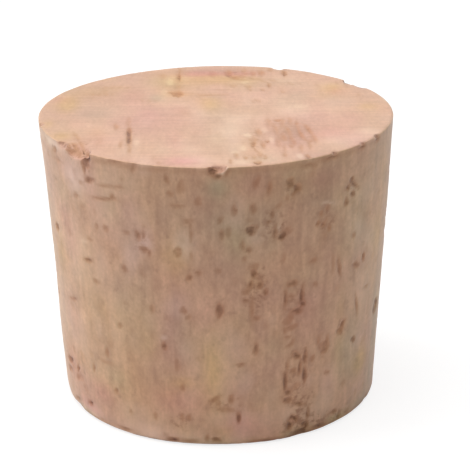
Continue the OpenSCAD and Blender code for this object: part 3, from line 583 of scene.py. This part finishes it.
def seededEnd(spec, end):
    # marks in an end: even draws over the disc, r = R sqrt(share), longer front to back
    count, dark, shift = spec["ends"][end]
    rng = np.random.default_rng(spec["seed"] + shift)
    reach = spec["endReach"] * np.sqrt(rng.uniform(0, 1, count))
    angle = rng.uniform(0, 2 * math.pi, count)
    place = np.stack([reach * np.cos(angle), reach * np.sin(angle)], 1)
    return np.concatenate([place, between(rng, (*spec["endShapes"], dark), count)], 1)


# How marks are drawn. An edge is how far inside a mark, in mm, something starts and is
# full, and under 0 is outside.
brush = {
    "sideFade": 0.7,          # the side's marks show by this power of their darkness
    "ragged": (0.3, 0.12),    # how ragged an edge is, by fine and by wide noise
    "bend": 0.3,              # how far noise bends a mark, as a share of its shorter side
    "colourEdge": (-0.24, 0.16),
    "halo": 0.16, "haloEdge": (-0.7, 0.1),    # a faint ring round it
    "pitEdge": (-0.05, 0.3),                  # its hollow
    "crumbEdge": (-0.6, 0.6),                 # crumbled cork
    "outside": -9,            # where a mark can't reach
    "softness": 1.2,          # how steeply a soft patch dies away
    "breaks": (0.7, 0.3),     # a dark line's mean strength, and how much it varies
    "unseenTurns": (68, 95),  # degrees from the front, where chance drift gets stronger
    "driftWide": 0.3, "driftUnseen": 0.4, "driftFine": 0.45,    # chance drift of colour
    "driftTop": 0.6,          # the top's share of it
}


def inside(across, along, width, length, tilt, ragged):
    # distance inside an oval's edge in mm, under 0 outside:
    # (1 - hypot(u / half width, v / half length) x ragged) x the shorter half
    c, s = math.cos(math.radians(tilt)), math.sin(math.radians(tilt))
    u, v = across * c + along * s, along * c - across * s
    return (1 - np.hypot(2 * u / width, 2 * v / length) * ragged) * min(width, length) / 2


def sideDistance(row):
    # distance round the plug and up it, from a place on the side to every point
    away = (turn - math.radians(row[0]) + math.pi) % (2 * math.pi) - math.pi
    return away * radius, points[:, 2] - row[1]


def flatDistance(row):
    # distance across and front to back, from a place in an end to every point
    return points[:, 0] - row[0], points[:, 1] - row[1]


ragged = (1 + brush["ragged"][0] * noise(points, "ragged")
          + brush["ragged"][1] * noise(points, "raggedWide"))
warp = [noise(points, "warp", axis) for axis in (0, 1)]
field = {name: np.zeros(len(points)) for name in ("stainAndPaintedShade", "pale", "crumb", "rosy", "honey", "toneAndPaintedLight")}
pitShape = np.zeros(len(points))


def press(rows, where, distance, fade=1.0):
    # each mark, an oval bent by noise, colours the cork by its darkness ^ fade x a smooth
    # step over its edge, with a faint ring round it, and sinks it by a steeper step. A
    # point keeps the strongest. Noise counts by the root of short over long.
    for row in rows:
        u, v = distance(row)
        short = min(row[2], row[3])
        torn = math.sqrt(short / max(row[2], row[3]))
        bend = brush["bend"] * short * torn
        deep = inside(u + bend * warp[0], v + bend * warp[1], row[2], row[3], row[4], ragged ** torn)
        deep = np.where(where, deep, brush["outside"])
        kind, strength = "stainAndPaintedShade" if row[5] > 0 else "pale", abs(row[5]) ** fade
        edge = np.maximum(smooth(deep, *brush["colourEdge"]),
                          brush["halo"] * smooth(deep, *brush["haloEdge"]))
        np.maximum(field[kind], strength * edge, out=field[kind])
        if row[5] > 0:
            np.maximum(pitShape, strength * smooth(deep, *brush["pitEdge"]), out=pitShape)


def crumble(rows, where, distance):
    # crumbled cork: strength x a smooth step over the ragged edge of an oval
    for row in rows:
        u, v = distance(row)
        deep = inside(u, v, row[2], row[3], row[4], ragged)
        crumb = np.where(where, row[5] * smooth(deep, *brush["crumbEdge"]), 0)
        np.maximum(field["crumb"], crumb, out=field["crumb"])


def drift(rows, name, where, distance):
    # a soft patch: amount x e^(-softness q^2), where q is 1 on the oval's edge
    for row in rows:
        u, v = distance(row)
        reach = (2 * u / row[2]) ** 2 + (2 * v / row[3]) ** 2
        field[name] += np.where(where, row[4] * np.exp(-brush["softness"] * reach), 0)


press(sideMarks, onSide, sideDistance, fade=brush["sideFade"])
press(solidPores(scatter), onSide, sideDistance)
press(seededSide(scatter), onSide, sideDistance)
press(topMarks, onTop, flatDistance)
press(seededEnd(scatter, "top"), onTop, flatDistance)
press(solidFootSlits(scatter), onFoot, flatDistance)
press(seededEnd(scatter, "foot"), onFoot, flatDistance)
crumble(sideCrumbs, onSide, sideDistance)
crumble(topCrumbs, onTop, flatDistance)
# a line of painted shade: its darkness x a smooth step off its height, broken along the edge by noise
broken = brush["breaks"][0] + brush["breaks"][1] * noise(points, "breaks")
for height, half, dark, start, end in paintedShadeLines:
    line = dark * broken * smooth(half - abs(points[:, 2] - height), 0, half)
    line = line * smooth(turn, *np.radians(start)) * smooth(-turn, *-np.radians(end))
    field["stainAndPaintedShade"] = np.maximum(field["stainAndPaintedShade"], np.where(onSide, line, 0))
unseen = np.where(onSide & ~onTop, smooth(abs(turn), *np.radians(brush["unseenTurns"])), 0)
unseen = np.where(onFoot, 1, unseen)
loud = np.where(onTop, brush["driftTop"], 1)
for shift, name in enumerate(("rosy", "honey", "toneAndPaintedLight")):
    drift(sideDrifts[name], name, onSide & ~onTop, sideDistance)
    drift(topDrifts[name], name, onTop, flatDistance)
    wide = (brush["driftWide"] + brush["driftUnseen"] * unseen) * noise(points, "driftWide", shift)
    field[name] += loud * (wide + brush["driftFine"] * noise(points, "driftFine", shift))
print("marks pressed:", len(sideMarks), "in the side,", len(topMarks), "in the top")


# Chips: turn, width and depth as shares of the largest, and the slope that each is
# struck at, where 0 is level and 90 is straight down
chips = {
    "rimWidth": 5.5, "rimDepth": 1.3,
    "rim": [[-50, 1, 1, 50], [-57, 0.6, 0.5, 30], [-45, 0.32, 0.75, 30], [0.5, 0.38, 0.7, 50],
            [39, 0.22, 0.3, 20], [52, 0.22, 0.3, 20], [61, 0.27, 0.3, 20], [121, 0.9, 0.48, 30],
            [126.5, 0.5, 0.8, 45], [157, 0.38, 0.65, 35], [-168, 0.4, 0.2, 40], [-80, 0.27, 0.4, 25]],
    "footWidth": 7, "footDepth": 0.6,
    "foot": [[-66.5, 1, 1, 45], [29, 0.8, 0.8, 15], [150, 0.7, 1, 45], [-140, 0.45, 0.8, 40]],
    "uneven": 0.1,       # how uneven a torn face is, as a share of its depth
    "crumbs": 0.6,       # and as a share of the crumbled cork's roughness
    "faceEdge": 0.25,    # its colour is full this far inside the ball
}

# The plug isn't quite round: turn, height, width, length, and how far it stands out
swells = [
    [-110, 37.5, 26, 10, 0.45], [-86, 10, 14, 12, 0.14], [86, 27, 14, 20, 0.12],
    [-52, 0, 42, 2.2, -0.25], [-12, 0, 20, 2, -0.06], [32, 0, 22, 2, 0.1],
]
swellPower = 8    # the power of the share of the radius by which they die away


def strikeChips(place, rows, width, depth, edgeRadius, edgeHeight, out):
    # a point inside the ball goes out to the ball's surface, so it sinks into the cork:
    # ball radius = (w^2 / 4 + d^2) / 2d, centred (ball - d) out from the edge
    flake = np.zeros(len(place))
    for angle, widthShare, depthShare, slope in rows:
        w, d = width * widthShare, depth * depthShare
        ball = (w ** 2 / 4 + d ** 2) / (2 * d)
        a, s = math.radians(angle), math.radians(slope)
        reach = edgeRadius + (ball - d) * math.cos(s)
        centre = np.array([reach * math.sin(a), -reach * math.cos(a),
                           edgeHeight + out * (ball - d) * math.sin(s)])
        away = place - centre
        distance = np.linalg.norm(away, axis=1)
        uneven = (chips["uneven"] * d * noise(place, "torn")
                  + chips["crumbs"] * plug["crumbGrit"] * noise(place, "tornCrumb"))
        hit = distance < ball + uneven
        flake[hit] = np.maximum(flake[hit], smooth(ball - distance[hit], 0, chips["faceEdge"]))
        place[hit] = centre + away[hit] * ((ball + uneven[hit]) / distance[hit])[:, None]
    return flake


relief = (plug["bow"] * noise(points, "bow") + plug["grit"] * noise(points, "grit")
          + field["crumb"] * plug["crumbGrit"] * noise(points, "crumb")
          - plug["crumbSink"] * field["crumb"] - plug["pitDepth"] * pitShape)
relief = np.where(onTop | onFoot, relief - plug["bow"], relief)
shaped = points + normals * relief[:, None]
# a swell: a soft patch moved out from the axis, which dies away into the ends
field["swell"] = np.zeros(len(points))
drift(swells, "swell", np.ones(len(points), bool), sideDistance)
outer = footRadius + plug["taper"] * points[:, 2]
shaped[:, :2] *= 1 + (field.pop("swell") * (radius / outer) ** swellPower / outer)[:, None]
field["flake"] = np.maximum(
    strikeChips(shaped, chips["rim"], chips["rimWidth"], chips["rimDepth"], topRadius, plug["height"], 1),
    strikeChips(shaped, chips["foot"], chips["footWidth"], chips["footDepth"], footRadius, 0, -1))
shaped[:, 2] = np.clip(shaped[:, 2], 0, plug["height"])
field["endFace"] = smooth(abs(normals[:, 2]), *zones["endFace"])
# a band round the rounded rim, which carries a painted highlight
field["paintedRimHighlight"] = smooth(normals[:, 2], *zones["rimIn"]) * (1 - smooth(normals[:, 2], *zones["rimOut"]))
print("relief and chips done")


def makePlug(place, faces, values):
    # one closed mesh of quads, with each field as a value at its points
    data = bpy.data.meshes.new("cork_plug")
    data.vertices.add(len(place))
    data.vertices.foreach_set("co", (place / 1000).ravel())
    data.loops.add(faces.size)
    data.loops.foreach_set("vertex_index", faces.ravel())
    data.polygons.add(len(faces))
    data.polygons.foreach_set("loop_start", np.arange(0, faces.size, 4))
    data.update(calc_edges=True)
    data.polygons.foreach_set("use_smooth", np.ones(len(faces), bool))
    data.validate()
    for name, value in values.items():
        data.attributes.new(name, "FLOAT", "POINT").data.foreach_set("value", value.astype(np.float32))
    piece = addObject("cork_plug", data)
    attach(piece, "root")
    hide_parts("stopper")
    return piece


stopper = makePlug(shaped, quads, field)
print("cork plug made")


# Natural cork bark, punched and sanded, which cuts straight through the cells. That
# gives a dry matt face the colour of sand, with a soft grain that runs front to back
# through the bark, and brown crumb in the pores.
cork = {
    "side": "#efc39d",
    # the ends are the same cork as the side, with painted shade: set darker to offset the stronger light on
    # the top, and pinker
    "end": "#e2b89d",
    "roughness": 0.7,
    "gloss": 0.5,
    "ior": 1.45,
    "sheen": 0.3,    # fine torn cell walls catch the light at the edges
    "sheenRoughness": 0.5,
    # each pattern: size of a cell in x, y and z in mm, detail, and its share on the ends
    "patterns": {
        "grain": (1.0, 2.4, 1.7, 2, 0.35),       # bundles of cells, coarse enough to show
        "streak": (0.6, 4.0, 5.0, 2, 0.3),       # faint upright streaks
        "layer": (6.0, 0.6, 9.0, 2, 1.0),        # growth layers, on the ends and the flanks
        "speckle": (0.35, 0.8, 0.45, 1, 0.9),    # cut cells
        "freckle": (1.1, 2.2, 1.4, 2, 0.6),      # faint dots
        "torn": (0.7, 0.6, 0.65, 2, 1.0),        # torn edges of crumb
    },
    "patternRoughness": 0.5,
    "patternStep": 1.7,             # sets each pattern's noise apart from the last
    "patternSpan": (0.25, 0.75),    # the part of the noise drawn out from 0 to 1
    # each mask: a field x its pattern, drawn out from a low to a high share
    "masks": {
        # spot takes the dark marks and also the painted shade lines under the rim and along the foot
        "spot": ("stainAndPaintedShade", "torn", 0.6, 1.25),
        "crumbDot": ("crumb", "torn", -0.7, 1.7),
        "flakeDot": ("flake", "torn", -0.6, 1.7),
        # a painted highlight along the rim, broken by the grain
        "paintedRimHighlightLine": ("paintedRimHighlight", "grain", 0.5, 1.2),
    },
    # each layer: source, where it starts and ends, its most, colour, and how it goes on
    "layers": [
        ("grain", 0.0, 1.0, 0.34, "#9a6c52", "MIX"),
        ("streak", 0.0, 1.0, 0.28, "#9e7056", "MIX"),
        ("layer", 0.0, 1.0, 0.24, "#9e7056", "MIX"),
        ("speckle", 0.0, 1.0, 0.23, "#9a6c52", "MIX"),
        ("freckle", 0.72, 1.0, 0.35, "#a0735a", "MIX"),
        # tone: the cork's tone, and the painted light and shade of the side's marked patches
        ("toneAndPaintedLight", 0.0, 2.0, 0.9, "#fbdcc4", "MIX"),
        ("toneAndPaintedLight", 0.0, -2.0, 1.0, "#d8d8d8", "MULTIPLY"),
        # a painted highlight along the rim
        ("paintedRimHighlightLine", 0.2, 1.0, 0.15, "#f0d2b6", "MIX"),
        # pale: pale marks, among them painted highlights in the front nick and on a pore's lit edge
        ("pale", 0.0, 1.0, 0.8, "#f5d8bc", "MIX"),
        ("crumb", 0.0, 1.0, 0.12, "#b38a70", "MIX"),
        ("crumbDot", 0.2, 0.9, 0.8, "#a06e50", "MIX"),
        ("flake", 0.0, 1.0, 0.5, "#c49684", "MIX"),
        ("flakeDot", 0.2, 1.0, 0.7, "#96684e", "MIX"),
        # spot: the dark marks, and the painted shade lines under the rim and along the foot
        ("spot", 0.0, 0.55, 0.95, "#b98865", "MIX"),
        ("spot", 0.5, 1.0, 0.9, "#7d533b", "MIX"),
        ("rosy", 0.0, 2.0, 1.0, "#ffe8f7", "MULTIPLY"),
        ("rosy", 0.0, -2.0, 1.0, "#e8fffb", "MULTIPLY"),
        ("honey", 0.0, 2.0, 1.0, "#ffffe1", "MULTIPLY"),
        ("honey", 0.0, -2.0, 1.0, "#f1eaff", "MULTIPLY"),
    ],
    "bumps": {"grain": 0.3, "speckle": 0.2, "torn": 0.1, "spot": -0.7},
    "bumpHeight": 0.1,    # mm
    "bumpStrength": 0.6,
}


def corkMaterial(spec, fieldNames):
    # the side's or the end's colour with each layer mixed or multiplied on by its share,
    # and a bump by the sum of the weighted patterns
    material = bpy.data.materials.new("natural cork bark, punched and sanded")
    tree = emptyTree(material)
    where = addNode(tree, "TexCoord")["Object"]
    value = {name: addNode(tree, "Attribute", attribute_name=name)["Fac"] for name in fieldNames}

    # each pattern is noise, drawn out from 0 to 1 and lowered to its share on the ends
    least, most = spec["patternSpan"]
    for shift, (name, (x, y, z, detail, endShare)) in enumerate(spec["patterns"].items()):
        spot = addNode(tree, "VectorMath", {0: where, 1: (1000 / x, 1000 / y, 1000 / z)},
                       operation="MULTIPLY")[0]
        grains = addNode(tree, "TexNoise",
                         {"Vector": spot, "W": spec["patternStep"] * shift, "Scale": 1.0, "Detail": detail,
                          "Roughness": spec["patternRoughness"]}, noise_dimensions="4D")["Fac"]
        share = addNode(tree, "MapRange", {0: value["endFace"], 3: 1.0, 4: endShare})[0]
        value[name] = addNode(tree, "MapRange", {0: grains, 1: least, 2: most, 3: 0.0, 4: share})[0]
    for name, (source, pattern, least, most) in spec["masks"].items():
        share = addNode(tree, "MapRange", {0: value[pattern], 3: least, 4: most})[0]
        value[name] = addNode(tree, "Math", {0: value[source], 1: share}, operation="MULTIPLY")[0]

    colour = addNode(tree, "Mix", {0: value["endFace"], 6: linear(spec["side"]),
                     7: linear(spec["end"])}, data_type="RGBA")[2]
    for source, start, end, most, tint, way in spec["layers"]:
        share = addNode(tree, "MapRange", {0: value[source], 1: start, 2: end, 3: 0.0, 4: most})[0]
        colour = addNode(tree, "Mix", {0: share, 6: colour, 7: linear(tint)},
                         data_type="RGBA", blend_type=way)[2]

    height = 0.0
    for source, weight in spec["bumps"].items():
        height = addNode(tree, "Math", {0: value[source], 1: weight, 2: height},
                         operation="MULTIPLY_ADD")[0]
    bump = addNode(tree, "Bump", {"Strength": spec["bumpStrength"],
                   "Distance": spec["bumpHeight"] / 1000, "Height": height})[0]
    shader = addNode(tree, "BsdfPrincipled",
                     {"Base Color": colour, "Roughness": spec["roughness"], "IOR": spec["ior"],
                      "Specular IOR Level": spec["gloss"], "Sheen Weight": spec["sheen"],
                      "Sheen Roughness": spec["sheenRoughness"], "Normal": bump})[0]
    addNode(tree, "OutputMaterial", {"Surface": shader})
    return material


stopper.data.materials.append(corkMaterial(cork, list(field)))
print("cork finish made")


studio = {
    "floorSize": 4.0,      # metres
    "floorPale": "#f4f4f4",
    "floorGlow": 0.78,
    "floorShade": 0.3,     # how strongly the backdrop shows light and shadow
    "roomLight": 0.04,
    "aimHeight": 0.02,     # metres, about half way up the plug
    # each lamp: turn and height in degrees, reach and size in metres, power in watts
    "lamps": {"key_lamp": (-95, 45, 0.7, 0.5, 2.6), "top_lamp": (0, 89, 0.7, 0.6, 4.7),
              "fill_lamp": (100, 10, 0.7, 0.5, 0.25)},
}


def backdropShare(tree):
    # 1 where the camera, a reflection or glass looks straight at the backdrop, else 0
    rays = addNode(tree, "LightPath")
    seen = 0.0
    for kind in ("Camera", "Glossy", "Transmission"):
        seen = addNode(tree, "Math", {0: rays[f"Is {kind} Ray"], 1: seen}, operation="MAXIMUM")[0]
    return seen


def makeFloor(spec):
    # a square of white paper: plain to the light, and where it is looked at a glow plus a
    # share of the light that falls on it, which keeps the shadow
    h = spec["floorSize"] / 2
    data = bpy.data.meshes.new("studio_floor")
    data.from_pydata([(-h, -h, 0), (h, -h, 0), (h, h, 0), (-h, h, 0)], [], [(0, 1, 2, 3)])
    floor = addObject("studio_floor", data)
    material = bpy.data.materials.new("white paper sweep, matt")
    tree = emptyTree(material)
    shade = (spec["floorShade"],) * 3 + (1,)
    paper = addNode(tree, "BsdfDiffuse", {"Color": linear(spec["floorPale"])})[0]
    faint = addNode(tree, "BsdfDiffuse", {"Color": shade})[0]
    glow = addNode(tree, "Emission", {"Strength": spec["floorGlow"]})[0]
    both = addNode(tree, "AddShader", {0: glow, 1: faint})[0]
    mixed = addNode(tree, "MixShader", {0: backdropShare(tree), 1: paper, 2: both})[0]
    addNode(tree, "OutputMaterial", {"Surface": mixed})
    data.materials.append(material)


def makeRoom(spec):
    # white all round: faint light on the plug, and 1 where the backdrop is looked at
    world = bpy.data.worlds.new("pale room")
    bpy.context.scene.world = world
    tree = emptyTree(world)
    strength = addNode(tree, "Mix", {0: backdropShare(tree), 2: spec["roomLight"], 3: 1.0})[0]
    light = addNode(tree, "Background", {"Color": (1, 1, 1, 1), "Strength": strength})[0]
    addNode(tree, "OutputWorld", {"Surface": light})


def makeLamp(name, aimHeight, turnDegrees, heightDegrees, reach, size, power):
    # a square lamp on a sphere round the plug's middle, turned to face it
    a, e = math.radians(turnDegrees), math.radians(heightDegrees)
    data = bpy.data.lights.new(name, "AREA")
    data.shape = "SQUARE"
    data.size = size
    data.energy = power
    lamp = addObject(name, data)
    spot = Matrix.Translation((reach * math.cos(e) * math.sin(a), -reach * math.cos(e) * math.cos(a),
                               reach * math.sin(e) + aimHeight))
    lamp.matrix_world = spot @ Matrix.Rotation(a, 4, "Z") @ Matrix.Rotation(math.pi / 2 - e, 4, "X")


makeFloor(studio)
makeRoom(studio)
for name, place in studio["lamps"].items():
    makeLamp(name, studio["aimHeight"], *place)
bpy.context.scene.view_settings.view_transform = "Standard"
print("studio lit")
